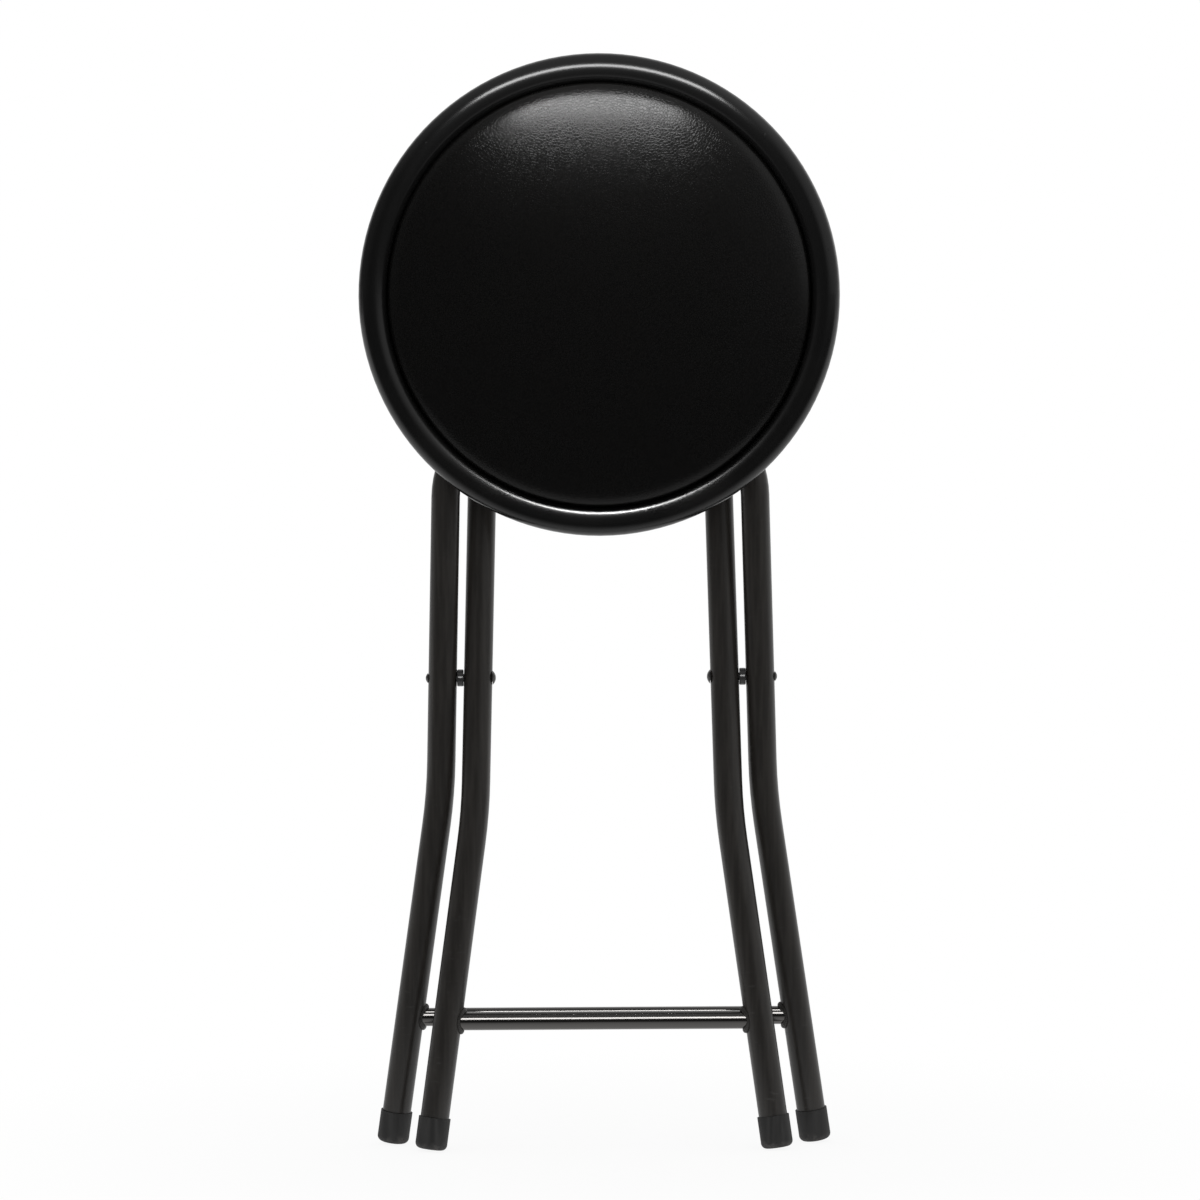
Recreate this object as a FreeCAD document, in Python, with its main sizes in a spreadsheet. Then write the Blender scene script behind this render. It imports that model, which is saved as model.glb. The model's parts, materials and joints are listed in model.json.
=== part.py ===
import FreeCAD, Part
import math
import os
import Sketcher
from FreeCAD import Placement, Rotation, Vector

# A round padded folding stool, modelled folded and standing on its feet.
# Frame: +X to the right, +Y away from the seat's face, +Z up.
# The origin is under the middle of the folded stool, on the floor.

# Driving dimensions in millimetres and degrees.
SIZES = {
    # Seat rim
    "rim_diameter": 300,
    "rim_tube": 18,
    "rim_wall": 1.2,
    # Cushion
    "cushion_gap": 1.2,
    "pad_height": 22,
    "pad_side": 5,
    "shoulder_round": 5,
    "lower_round": 2,
    "cover_thickness": 0.8,
    "hem_width": 26,
    "board_thickness": 6,
    "foam_skirt": 6,
    # Straps welded across the rim, and the board's screws
    "strap_width": 46,
    "strap_thickness": 1.9,
    "screw_shank": 3.8,
    "screw_head": 7.5,
    "screw_head_height": 2,
    "screw_grip": 4.5,
    "screw_inset": 7,
    "screw_hem_gap": 10,
    # Staples of the cover's hem
    "staple_crown": 9,
    "staple_wire": 1.2,
    "staple_leaf": 0.5,
    "staple_leg": 4.5,
    "staple_pitch": 12,
    "staple_inset": 6,
    # Seat hinge
    "hinge_offset": 67,
    "bracket_width": 18,
    "bracket_end_gap": 4.5,
    "bracket_sheet": 1.5,
    "bracket_flange": 11,
    "bush_wall": 0.95,
    "bush_slit": 1.2,
    "bush_headroom": 0.35,
    "seat_rivet": 4,
    "seat_rivet_head": 7,
    "seat_rivet_dome": 1.6,
    "seat_rivet_closed_end": 5.6,
    # Catch for the inner frame's top bar
    "catch_width": 26,
    "catch_rivet_spacing": 80,
    "catch_rivet_edge": 9,
    "catch_reach": 6,
    "catch_play": 0.4,
    "catch_ramp": 36,
    # Leg frames
    "leg_tube": 18,
    "leg_wall": 1.2,
    "top_height": 173,
    "bend_radius": 60,
    "foot_drop": 295.4,
    "knee_radius": 340,
    "crossbar_drop": 215.7,
    "crossbar_diameter": 11.5,
    "crossbar_wall": 1.2,
    "weld_size": 3,
    "weld_sink": 1,
    "outer_half_width": 100.2,
    "outer_upper_splay": 1.4,
    "outer_lower_splay": 8.3,
    "outer_knee_drop": 73,
    "leg_gap": 4.4,
    "inner_upper_splay": 1.4,
    "inner_lower_splay": 7.8,
    "inner_knee_drop": 84.5,
    # Foot caps
    "cap_length": 20,
    "cap_wall": 1,
    "cap_floor": 3,
    "cap_round": 3.5,
    # Pivots
    "rivet_shank": 5,
    "rivet_outer_head": 6.4,
    "rivet_outer_dome": 1.5,
    "rivet_inner_head": 8.8,
    "rivet_inner_dome": 2,
    "spacer_diameter": 10.8,
    "spacer_round": 0.7,
    # Clearances
    "running_gap": 0.05,
    "fit_gap": 0.02,
    "rest_gap": 0.35,
    "side_gap": 0.2,
}

doc = FreeCAD.newDocument("FoldingStool")
sheet = doc.addObject("Spreadsheet::Sheet", "Sizes")
for row, (alias, number) in enumerate(SIZES.items(), 1):
    sheet.set(f"A{row}", alias)
    sheet.set(f"B{row}", str(number))
    sheet.setAlias(f"B{row}", alias)
doc.recompute()


class Size:
    """A length, angle or ratio: its number, and the expression that gives it from the sheet."""

    def __init__(self, value, text):
        self.value = value
        self.text = text

    def __add__(self, other):
        other = as_size(other)
        return Size(self.value + other.value, f"({self.text} + {other.text})")

    def __sub__(self, other):
        other = as_size(other)
        return Size(self.value - other.value, f"({self.text} - {other.text})")

    def __rsub__(self, other):
        return as_size(other) - self

    def __mul__(self, other):
        other = as_size(other)
        return Size(self.value * other.value, f"({self.text} * {other.text})")

    def __truediv__(self, other):
        other = as_size(other)
        return Size(self.value / other.value, f"({self.text} / {other.text})")

    def __neg__(self):
        return Size(-self.value, f"(0 - {self.text})")

    __radd__ = __add__
    __rmul__ = __mul__


def as_size(number):
    return number if isinstance(number, Size) else Size(float(number), repr(float(number)))


def from_sheet(alias):
    return Size(float(sheet.get(alias)), f"Sizes.{alias}")


def sine(angle):
    return Size(math.sin(math.radians(angle.value)), f"sin({angle.text} * 1deg)")


def cosine(angle):
    return Size(math.cos(math.radians(angle.value)), f"cos({angle.text} * 1deg)")


def tangent(angle):
    return Size(math.tan(math.radians(angle.value)), f"tan({angle.text} * 1deg)")


def root(size):
    return Size(math.sqrt(size.value), f"sqrt({size.text})")


def arc_sine(ratio):
    return Size(math.degrees(math.asin(ratio.value)), f"(asin({ratio.text}) / 1deg)")


rim_diameter = from_sheet("rim_diameter")
rim_tube = from_sheet("rim_tube")
leg_tube = from_sheet("leg_tube")
top_height = from_sheet("top_height")
bend_radius = from_sheet("bend_radius")
foot_drop = from_sheet("foot_drop")
hinge_offset = from_sheet("hinge_offset")
strap_width = from_sheet("strap_width")
cover_thickness = from_sheet("cover_thickness")
running_gap = from_sheet("running_gap")
fit_gap = from_sheet("fit_gap")
rest_gap = from_sheet("rest_gap")
side_gap = from_sheet("side_gap")

rim_radius = (rim_diameter - rim_tube) / 2
leg_radius = leg_tube / 2

# Levels of the seat, measured up from the plane through the middle of the rim.
hinge_level = -(rim_tube / 2 + leg_radius + rest_gap)
bush_outside = leg_radius + running_gap + from_sheet("bush_wall")
strap_bottom = hinge_level + bush_outside + from_sheet("bush_headroom")
strap_top = strap_bottom + from_sheet("strap_thickness")
pad_bottom = strap_top
board_bottom = pad_bottom + cover_thickness
board_top = board_bottom + from_sheet("board_thickness")
crown_top = pad_bottom + from_sheet("pad_height")

pad_radius = rim_diameter / 2 - rim_tube - from_sheet("cushion_gap")
board_radius = pad_radius - from_sheet("foam_skirt")
hem_radius = pad_radius - from_sheet("hem_width")

# Folded, the inner frame's top bar lies behind the hinge brackets. Open, it lies in the catch.
bracket_inside = bush_outside + fit_gap
bracket_outside = bracket_inside + from_sheet("bracket_sheet")
folded_bar_spacing = bracket_outside + rest_gap + leg_radius
folded_lean = arc_sine(folded_bar_spacing / 2 / top_height)
open_lean = arc_sine(hinge_offset / top_height)

# The catch's sheet is as thick as the bush, so that both top bars lie at one level under the seat.
catch_sheet = bush_outside - leg_radius


class Round:
    """An arc between two corners of an outline."""

    def __init__(self, radius, centre, counterclockwise):
        self.radius = radius
        self.centre = centre
        self.counterclockwise = counterclockwise


def point(corner):
    return Vector(as_size(corner[0]).value, as_size(corner[1]).value, 0)


def new_body(name):
    return doc.addObject("PartDesign::Body", f"{name}_body")


def plane_of(body, role):
    return [f for f in body.Origin.OriginFeatures if f.Role == role][0]


class Drawing:
    """A sketch on one of a body's origin planes, its corners and radii bound to the sheet."""

    def __init__(self, body, name, plane):
        self.sketch = body.newObject("Sketcher::SketchObject", name)
        self.sketch.AttachmentSupport = (plane_of(body, plane), [""])
        self.sketch.MapMode = "FlatFace"

    def bind(self, kind, *where, size):
        index = self.sketch.addConstraint(Sketcher.Constraint(kind, *where, size.value))
        self.sketch.renameConstraint(index, f"dimension{index}")
        self.sketch.setExpression(f"Constraints.dimension{index}", size.text)

    def fix(self, curve, end, corner):
        for kind, axis, size in zip(("DistanceX", "DistanceY"), (-2, -1), map(as_size, corner)):
            if size.value == 0:
                self.sketch.addConstraint(Sketcher.Constraint("PointOnObject", curve, end, axis))
            else:
                self.bind(kind, -1, 1, curve, end, size=size)

    def circle(self, centre, radius):
        curve = self.sketch.addGeometry(Part.Circle(point(centre), Vector(0, 0, 1), radius.value), False)
        self.fix(curve, 3, centre)
        self.bind("Radius", curve, size=radius)

    def join(self, curve, end, other, other_end):
        self.sketch.addConstraint(Sketcher.Constraint("Coincident", curve, end, other, other_end))

    def stretch(self, start, end, bow):
        """Draws one line or arc, and gives its number and which of its ends is the start."""
        if bow is None:
            return self.sketch.addGeometry(Part.LineSegment(point(start), point(end)), False), 1, 2
        middle = point(bow.centre)
        first, last = (start, end) if bow.counterclockwise else (end, start)
        angles = [math.atan2((point(c) - middle).y, (point(c) - middle).x) for c in (first, last)]
        circle = Part.Circle(middle, Vector(0, 0, 1), bow.radius.value)
        curve = self.sketch.addGeometry(Part.ArcOfCircle(circle, *angles), False)
        self.bind("Radius", curve, size=bow.radius)
        return (curve, 1, 2) if bow.counterclockwise else (curve, 2, 1)

    def path(self, *items, closed):
        """Draws the corners in order, with a Round between two corners that an arc joins."""
        corners = []
        bows = {}
        for item in items:
            if isinstance(item, Round):
                bows[len(corners) - 1] = item
            else:
                corners.append(item)
        last = len(corners) if closed else len(corners) - 1
        ends = [self.stretch(corners[i], corners[(i + 1) % len(corners)], bows.get(i)) for i in range(last)]
        for (curve, start, end), corner in zip(ends, corners):
            self.fix(curve, start, corner)
        for (curve, start, end), (after, after_start, after_end) in zip(ends, ends[1:]):
            self.join(curve, end, after, after_start)
        curve, start, end = ends[-1]
        if closed:
            self.join(curve, end, ends[0][0], ends[0][1])
        else:
            self.fix(curve, end, corners[-1])

    def rectangle(self, low, high):
        self.path(low, (high[0], low[1]), high, (low[0], high[1]), closed=True)


def bind(thing, **sizes):
    for name, size in sizes.items():
        thing.setExpression(name, as_size(size).text)


def pad(body, drawing, length):
    """Thickens a drawing by half the length to each side of its plane."""
    feature = body.newObject("PartDesign::Pad", "Pad")
    feature.Profile = drawing.sketch
    feature.SideType = "Symmetric"
    bind(feature, Length=length)
    return feature


def pocket_through(body, drawing):
    feature = body.newObject("PartDesign::Pocket", "Pocket")
    feature.Profile = drawing.sketch
    feature.SideType = "Symmetric"
    feature.Type = "ThroughAll"
    return feature


def revolve(body, drawing, axis):
    feature = body.newObject("PartDesign::Revolution", "Revolution")
    feature.Profile = drawing.sketch
    feature.ReferenceAxis = (drawing.sketch, [axis])
    feature.Angle = 360
    return feature


def primitive(kind, placement=Placement(), **sizes):
    thing = doc.addObject(f"Part::{kind}", kind)
    bind(thing, **sizes)
    thing.Placement = placement
    return thing


def cut(base, tools):
    tool = tools[0]
    if len(tools) > 1:
        tool = doc.addObject("Part::MultiFuse", "Tools")
        tool.Shapes = tools
    result = doc.addObject("Part::Cut", "Cut")
    result.Base = base
    result.Tool = tool
    return result


def move(x=0, y=0, z=0):
    return Placement(Vector(*(as_size(c).value for c in (x, y, z))), Rotation())


def turn(axis, degrees):
    return Placement(Vector(), Rotation(axis, as_size(degrees).value))


X, Y, Z = Vector(1, 0, 0), Vector(0, 1, 0), Vector(0, 0, 1)

# The foot caps' lowest points stand on the floor, and the box of the folded stool is centred on the origin.
cap_outside = leg_radius + fit_gap + from_sheet("cap_wall")
cap_round = from_sheet("cap_round")


def foot_depth(lower_splay):
    """How far the lowest point of a leaning foot cap lies below the pivot."""
    upright = math.cos(math.radians(lower_splay.value)) * math.cos(math.radians(folded_lean.value))
    flat = (cap_outside - cap_round).value
    centre = foot_drop.value * math.cos(math.radians(folded_lean.value)) - cap_round.value * upright
    return centre + flat * math.sqrt(1 - upright ** 2) + cap_round.value


pivot_height = max(foot_depth(from_sheet(f"{side}_lower_splay")) for side in ("outer", "inner"))
lean_sine = sine(folded_lean).value
lean_cosine = cosine(folded_lean).value
front_reach = (top_height + hinge_offset + rim_radius).value * lean_sine - hinge_level.value * lean_cosine
front_reach = front_reach + rim_tube.value / 2
back_reach = foot_drop.value * lean_sine + cap_outside.value * lean_cosine

# Where the four bodies stand when the stool is folded.
at_pivot = move(0, (front_reach - back_reach) / 2, pivot_height)
on_outer = at_pivot * turn(X, folded_lean)
on_inner = at_pivot * turn(X, -folded_lean)
on_seat = on_outer * move(0, hinge_level, top_height + hinge_offset) * turn(X, 90)

nodes = {}


def keep(name, thing, placement):
    """Names a finished sub-part and puts it in its place."""
    thing.Label = name
    thing.Placement = placement
    nodes[name] = thing


def group(name, master, places, placement):
    """Copies a fastener to each of its places, as one sub-part of separate solids."""
    copies = []
    for place in places:
        copy = doc.addObject("App::Link", f"{name}_copy")
        copy.LinkedObject = master
        copy.LinkTransform = False
        copy.Placement = place
        copies.append(copy)
    compound = doc.addObject("Part::Compound", f"{name}_group")
    compound.Links = copies
    keep(name, compound, placement)


class LegFrame:
    """One of the two bent leg frames, drawn in its own plane with the pivot axis at its origin."""

    def __init__(self, side, half_width, placement):
        self.side = side
        self.placement = placement
        self.half_width = half_width
        self.upper_splay = from_sheet(f"{side}_upper_splay")
        self.lower_splay = from_sheet(f"{side}_lower_splay")
        self.knee_drop = from_sheet(f"{side}_knee_drop")
        self.knee_x = half_width + self.knee_drop * tangent(self.upper_splay)
        self.foot_x = self.x_below_knee(foot_drop)
        self.corner_x = half_width - top_height * tangent(self.upper_splay)
        self.bend_run = bend_radius * tangent((90 - self.upper_splay) / 2)
        self.bar_half = self.corner_x - self.bend_run

    def x_below_knee(self, drop):
        return self.knee_x + (drop - self.knee_drop) * tangent(self.lower_splay)

    def face(self, outward):
        """Where the leg's side stands at the pivot, on its outward or inward side."""
        return self.half_width + (leg_radius if outward else -leg_radius) / cosine(self.upper_splay)

    def path(self):
        """Half of the tube's middle line: top bar, bend, upper leg, knee, lower leg."""
        knee_radius = from_sheet("knee_radius")
        upper = (sine(self.upper_splay), -cosine(self.upper_splay))
        lower = (sine(self.lower_splay), -cosine(self.lower_splay))
        knee_run = knee_radius * tangent((self.lower_splay - self.upper_splay) / 2)
        bend_start = (self.bar_half, top_height)
        bend_end = (self.corner_x + self.bend_run * upper[0], top_height + self.bend_run * upper[1])
        knee_start = (self.knee_x - knee_run * upper[0], -self.knee_drop - knee_run * upper[1])
        knee_end = (self.knee_x + knee_run * lower[0], -self.knee_drop + knee_run * lower[1])
        knee_centre = (knee_start[0] - knee_radius * upper[1], knee_start[1] + knee_radius * upper[0])
        cap_floor = from_sheet("cap_floor")
        tube_end = (self.foot_x - cap_floor * lower[0], -foot_drop - cap_floor * lower[1])
        bend = Round(bend_radius, (bend_start[0], top_height - bend_radius), False)
        knee = Round(knee_radius, knee_centre, True)
        return (0, top_height), bend_start, bend, bend_end, knee_start, knee, knee_end, tube_end

    def tube(self):
        name = f"{self.side}_leg_tube"
        body = new_body(name)
        spine = Drawing(body, f"{name}_path", "XZ_Plane")
        spine.path(*self.path(), closed=False)
        section = Drawing(body, f"{name}_section", "YZ_Plane")
        section.circle((0, top_height), leg_radius)
        section.circle((0, top_height), leg_radius - from_sheet("leg_wall"))
        pipe = body.newObject("PartDesign::AdditivePipe", "Pipe")
        pipe.Profile = section.sketch
        pipe.Spine = (spine.sketch, [f"Edge{i + 1}" for i in range(5)])
        both = body.newObject("PartDesign::Mirrored", "BothLegs")
        both.Originals = [pipe]
        both.MirrorPlane = (plane_of(body, "YZ_Plane"), [""])
        body.Tip = both
        hole = Drawing(body, f"{name}_pivot_hole", "YZ_Plane")
        hole.circle((0, 0), from_sheet("rivet_shank") / 2 + running_gap)
        doc.recompute()
        body.Tip = pocket_through(body, hole)
        keep(name, body, self.placement)

    def lower_leg(self, sign):
        """The space that a lower leg fills, for what is welded to it."""
        length = (foot_drop - self.knee_drop) / cosine(self.lower_splay)
        place = move(sign * self.foot_x, 0, -foot_drop) * turn(Y, -sign * self.lower_splay)
        return primitive("Cylinder", place, Radius=leg_radius + fit_gap, Height=length)

    def crossbar(self):
        drop = from_sheet("crossbar_drop")
        radius = from_sheet("crossbar_diameter") / 2
        reach = self.x_below_knee(drop)
        along = move(-reach, 0, -drop) * turn(Y, 90)
        bar = primitive("Cylinder", along, Radius=radius, Height=2 * reach)
        bore = primitive("Cylinder", along, Radius=radius - from_sheet("crossbar_wall"), Height=2 * reach)
        keep(f"{self.side}_crossbar", cut(bar, [bore, self.lower_leg(1), self.lower_leg(-1)]), self.placement)

        bead_x = reach - leg_radius / cosine(self.lower_splay) + from_sheet("weld_sink")
        rings = []
        for sign in (1, -1):
            square_to_leg = turn(Y, sign * (90 - self.lower_splay))
            place = move(sign * bead_x, 0, -drop) * square_to_leg
            rings.append(primitive("Torus", place, Radius1=radius, Radius2=from_sheet("weld_size")))
        beads = doc.addObject("Part::MultiFuse", "Beads")
        beads.Shapes = rings
        envelope = primitive("Cylinder", along, Radius=radius + fit_gap, Height=2 * reach)
        welds = cut(beads, [envelope, self.lower_leg(1), self.lower_leg(-1)])
        keep(f"{self.side}_crossbar_welds", welds, self.placement)

    def feet(self):
        for name, sign in (("right", 1), ("left", -1)):
            place = move(sign * self.foot_x, 0, -foot_drop) * turn(Y, -sign * self.lower_splay)
            keep(f"{self.side}_foot_{name}", foot_cap(f"{self.side}_foot_{name}"), self.placement * place)


def foot_cap(name):
    """A rubber cup with a rounded lower edge, pushed over the end of a leg."""
    body = new_body(name)
    length = from_sheet("cap_length")
    floor = from_sheet("cap_floor")
    bore = leg_radius + fit_gap
    cup = Drawing(body, f"{name}_section", "XZ_Plane")
    cup.path(
        (0, 0),
        (cap_outside - cap_round, 0),
        Round(cap_round, (cap_outside - cap_round, cap_round), True),
        (cap_outside, cap_round),
        (cap_outside, length),
        (bore, length),
        (bore, floor),
        (0, floor),
        closed=True,
    )
    revolve(body, cup, "V_Axis")
    return body


outer_half_width = from_sheet("outer_half_width")
outer = LegFrame("outer", outer_half_width, on_outer)
inner = LegFrame("inner", outer_half_width - leg_tube - from_sheet("leg_gap"), on_inner)
for frame in (outer, inner):
    frame.tube()
    frame.crossbar()
    frame.feet()


def dome_radius(rim, height):
    """The radius of a domed head's arc, from the radius of its rim and its height."""
    return (rim * rim + height * height) / (2 * height)


def pivot_rivet(name, placement):
    """A rivet through both legs, with its large head inside and its closed end outside."""
    shank = from_sheet("rivet_shank") / 2
    inner_head = from_sheet("rivet_inner_head") / 2
    outer_head = from_sheet("rivet_outer_head") / 2
    inner_base = inner.face(outward=False) - side_gap
    outer_base = outer.face(outward=True) + side_gap
    inner_top = inner_base - from_sheet("rivet_inner_dome")
    outer_top = outer_base + from_sheet("rivet_outer_dome")
    inner_dome = dome_radius(inner_head, from_sheet("rivet_inner_dome"))
    outer_dome = dome_radius(outer_head, from_sheet("rivet_outer_dome"))
    body = new_body(name)
    section = Drawing(body, f"{name}_section", "XZ_Plane")
    section.path(
        (outer_top, 0),
        (inner_top, 0),
        Round(inner_dome, (inner_top + inner_dome, 0), False),
        (inner_base, inner_head),
        (inner_base, shank),
        (outer_base, shank),
        (outer_base, outer_head),
        Round(outer_dome, (outer_top - outer_dome, 0), False),
        closed=True,
    )
    revolve(body, section, "H_Axis")
    keep(name, body, placement)


def pivot_spacer(name, placement):
    """A short barrel round the rivet that keeps the two legs apart."""
    low = inner.face(outward=True) + side_gap
    high = outer.face(outward=False) - side_gap
    bore = from_sheet("rivet_shank") / 2 + running_gap
    outside = from_sheet("spacer_diameter") / 2
    edge = from_sheet("spacer_round")
    body = new_body(name)
    section = Drawing(body, f"{name}_section", "XZ_Plane")
    section.path(
        (low, bore),
        (high, bore),
        (high, outside - edge),
        Round(edge, (high - edge, outside - edge), True),
        (high - edge, outside),
        (low + edge, outside),
        Round(edge, (low + edge, outside - edge), True),
        (low, outside - edge),
        closed=True,
    )
    revolve(body, section, "H_Axis")
    keep(name, body, placement)


for side, half_turn in (("right", 0), ("left", 180)):
    pivot_rivet(f"pivot_rivet_{side}", at_pivot * turn(Z, half_turn))
    pivot_spacer(f"pivot_spacer_{side}", at_pivot * turn(Z, half_turn))


def rim():
    outside = primitive("Torus", Radius1=rim_radius, Radius2=rim_tube / 2)
    inside = primitive("Torus", Radius1=rim_radius, Radius2=rim_tube / 2 - from_sheet("rim_wall"))
    keep("seat_rim", cut(outside, [inside]), on_seat)


class PadSection:
    """The cushion's section, set in from the cover's outer face: crown, shoulder, side, lower edge."""

    def __init__(self, inset):
        shoulder = from_sheet("shoulder_round")
        lower = from_sheet("lower_round")
        side_top = pad_bottom + from_sheet("pad_side")
        shoulder_x = pad_radius - shoulder
        rise = crown_top - side_top
        crown = (shoulder_x * shoulder_x + rise * rise - shoulder * shoulder) / (2 * (rise - shoulder))
        crown_centre = (0, crown_top - crown)
        reach = (crown - inset) / (crown - shoulder)
        self.top = (0, crown_top - inset)
        self.crown_end = (shoulder_x * reach, crown_top - crown + (side_top - crown_top + crown) * reach)
        self.side_top = (pad_radius - inset, side_top)
        self.side_low = (pad_radius - inset, pad_bottom + lower)
        self.under = (pad_radius - lower, pad_bottom + inset)
        self.crown_arc = (crown - inset, crown_centre)
        self.shoulder_arc = (shoulder - inset, (shoulder_x, side_top))
        self.lower_arc = (lower - inset, (pad_radius - lower, pad_bottom + lower))

    def downward(self):
        """From the top of the crown, over the shoulder and down to the underside."""
        return (
            self.top,
            Round(*self.crown_arc, False),
            self.crown_end,
            Round(*self.shoulder_arc, False),
            self.side_top,
            self.side_low,
            Round(*self.lower_arc, False),
            self.under,
        )

    def upward(self):
        return (
            self.under,
            Round(*self.lower_arc, True),
            self.side_low,
            self.side_top,
            Round(*self.shoulder_arc, True),
            self.crown_end,
            Round(*self.crown_arc, True),
            self.top,
        )


def cover():
    body = new_body("seat_cover")
    section = Drawing(body, "seat_cover_section", "XZ_Plane")
    hem = ((hem_radius, pad_bottom), (hem_radius, board_bottom))
    section.path(*PadSection(as_size(0)).downward(), *hem, *PadSection(cover_thickness).upward(), closed=True)
    revolve(body, section, "V_Axis")
    keep("seat_cover", body, on_seat)


def foam():
    body = new_body("seat_foam")
    section = Drawing(body, "seat_foam_section", "XZ_Plane")
    seat_on_board = ((board_radius, board_bottom), (board_radius, board_top), (0, board_top))
    section.path(*PadSection(cover_thickness).downward(), *seat_on_board, closed=True)
    revolve(body, section, "V_Axis")
    keep("seat_foam", body, on_seat)


# The screws stand in a ring inside the hem, near the inner edges of the straps.
screw_y = hinge_offset - strap_width / 2 + from_sheet("screw_inset")
screw_ring = hem_radius - from_sheet("screw_hem_gap")
screw_x = root(screw_ring * screw_ring - screw_y * screw_y)
screw_places = [(sx * screw_x, sy * screw_y) for sx in (1, -1) for sy in (1, -1)]
screw_hole = from_sheet("screw_shank") / 2 + fit_gap
screw_grip = from_sheet("screw_grip")


def board():
    body = new_body("seat_board")
    section = Drawing(body, "seat_board_section", "XZ_Plane")
    section.rectangle((0, board_bottom), (board_radius, board_top))
    revolve(body, section, "V_Axis")
    doc.recompute()
    holes = Drawing(body, "seat_board_pilot_holes", "XY_Plane")
    for place in screw_places:
        holes.circle(place, screw_hole)
    bind(holes.sketch, **{"AttachmentOffset.Base.z": board_bottom + screw_grip})
    pocket = body.newObject("PartDesign::Pocket", "PilotHoles")
    pocket.Profile = holes.sketch
    bind(pocket, Length=screw_grip)
    keep("seat_board", body, on_seat)


seat_rivet = from_sheet("seat_rivet") / 2
seat_rivet_hole = seat_rivet + fit_gap
flange_reach = bracket_outside + from_sheet("bracket_flange")
bracket_rivet_y = bracket_outside + from_sheet("bracket_flange") / 2
hinge_x = outer.bar_half - from_sheet("bracket_end_gap") - from_sheet("bracket_width") / 2
catch_rivet_x = from_sheet("catch_rivet_spacing") / 2


def strap(name, y, rivet_places, screw_side):
    """A flat plate under the board, trimmed to the rim that it is welded to."""
    body = new_body(name)
    plate = Drawing(body, f"{name}_outline", "XY_Plane")
    plate.rectangle((-rim_radius, y - strap_width / 2), (rim_radius, y + strap_width / 2))
    for place in rivet_places:
        plate.circle(place, seat_rivet_hole)
    for sign in (1, -1):
        plate.circle((sign * screw_x, screw_side * screw_y), screw_hole)
    pad(body, plate, from_sheet("strap_thickness"))
    body.Placement = move(0, 0, (strap_bottom + strap_top) / 2)
    inside_rim = primitive("Cylinder", move(0, 0, -rim_tube), Radius=rim_radius, Height=2 * rim_tube)
    trimmed = doc.addObject("Part::Common", "Trimmed")
    trimmed.Base = body
    trimmed.Tool = inside_rim
    rim_space = primitive("Torus", Radius1=rim_radius, Radius2=rim_tube / 2 + fit_gap)
    keep(name, cut(trimmed, [rim_space]), on_seat)


def hinge_bracket(name, x):
    """A pressed saddle: half round under the bush, straight walls, and a flange to each side."""
    body = new_body(name)
    flange_low = strap_bottom - from_sheet("bracket_sheet")
    section = Drawing(body, f"{name}_section", "YZ_Plane")
    middle = (-hinge_offset, hinge_level)

    def beside(reach, level):
        return (reach - hinge_offset, level)

    def under(reach):
        return (-hinge_offset, hinge_level - reach)

    section.path(
        beside(-flange_reach, strap_bottom),
        beside(-flange_reach, flange_low),
        beside(-bracket_outside, flange_low),
        beside(-bracket_outside, hinge_level),
        Round(bracket_outside, middle, True),
        under(bracket_outside),
        Round(bracket_outside, middle, True),
        beside(bracket_outside, hinge_level),
        beside(bracket_outside, flange_low),
        beside(flange_reach, flange_low),
        beside(flange_reach, strap_bottom),
        beside(bracket_inside, strap_bottom),
        beside(bracket_inside, hinge_level),
        Round(bracket_inside, middle, False),
        under(bracket_inside),
        Round(bracket_inside, middle, False),
        beside(-bracket_inside, hinge_level),
        beside(-bracket_inside, strap_bottom),
        closed=True,
    )
    pad(body, section, from_sheet("bracket_width"))
    doc.recompute()
    holes = Drawing(body, f"{name}_holes", "XY_Plane")
    for sign in (1, -1):
        holes.circle((0, sign * bracket_rivet_y - hinge_offset), seat_rivet_hole)
    pocket_through(body, holes)
    keep(name, body, on_seat * move(x))


def hinge_bush(name, x):
    """A nylon sleeve round the top bar, slit along its top so that it clips on."""
    body = new_body(name)
    ring = Drawing(body, f"{name}_section", "YZ_Plane")
    ring.circle((-hinge_offset, hinge_level), bush_outside)
    ring.circle((-hinge_offset, hinge_level), leg_radius + running_gap)
    pad(body, ring, from_sheet("bracket_width"))
    doc.recompute()
    slit = Drawing(body, f"{name}_slit", "YZ_Plane")
    half = from_sheet("bush_slit") / 2
    slit.rectangle((-half - hinge_offset, hinge_level), (half - hinge_offset, strap_bottom))
    pocket_through(body, slit)
    keep(name, body, on_seat * move(x))


def seat_rivet_master(name, grip):
    """A rivet along Z with a domed head below what it grips and a flat closed end under the board."""
    body = new_body(name)
    head = from_sheet("seat_rivet_head") / 2
    height = from_sheet("seat_rivet_dome")
    radius = dome_radius(head, height)
    closed_end = from_sheet("seat_rivet_closed_end") / 2
    closed_top = grip + cover_thickness - side_gap
    section = Drawing(body, f"{name}_section", "XZ_Plane")
    section.path(
        (0, -height),
        Round(radius, (0, radius - height), True),
        (head, 0),
        (seat_rivet, 0),
        (seat_rivet, grip),
        (closed_end, grip),
        (closed_end, closed_top),
        (0, closed_top),
        closed=True,
    )
    revolve(body, section, "V_Axis")
    return body


def board_screw():
    """A screw along Z with a domed head, which comes up through a strap into the board."""
    body = new_body("board_screw")
    shank = from_sheet("screw_shank") / 2
    head = from_sheet("screw_head") / 2
    height = from_sheet("screw_head_height")
    length = from_sheet("strap_thickness") + cover_thickness + screw_grip
    radius = dome_radius(head, height)
    section = Drawing(body, "board_screw_section", "XZ_Plane")
    section.path(
        (0, -height),
        Round(radius, (0, radius - height), True),
        (head, 0),
        (shank, 0),
        (shank, length - shank),
        (0, length),
        closed=True,
    )
    revolve(body, section, "V_Axis")
    return body


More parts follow.
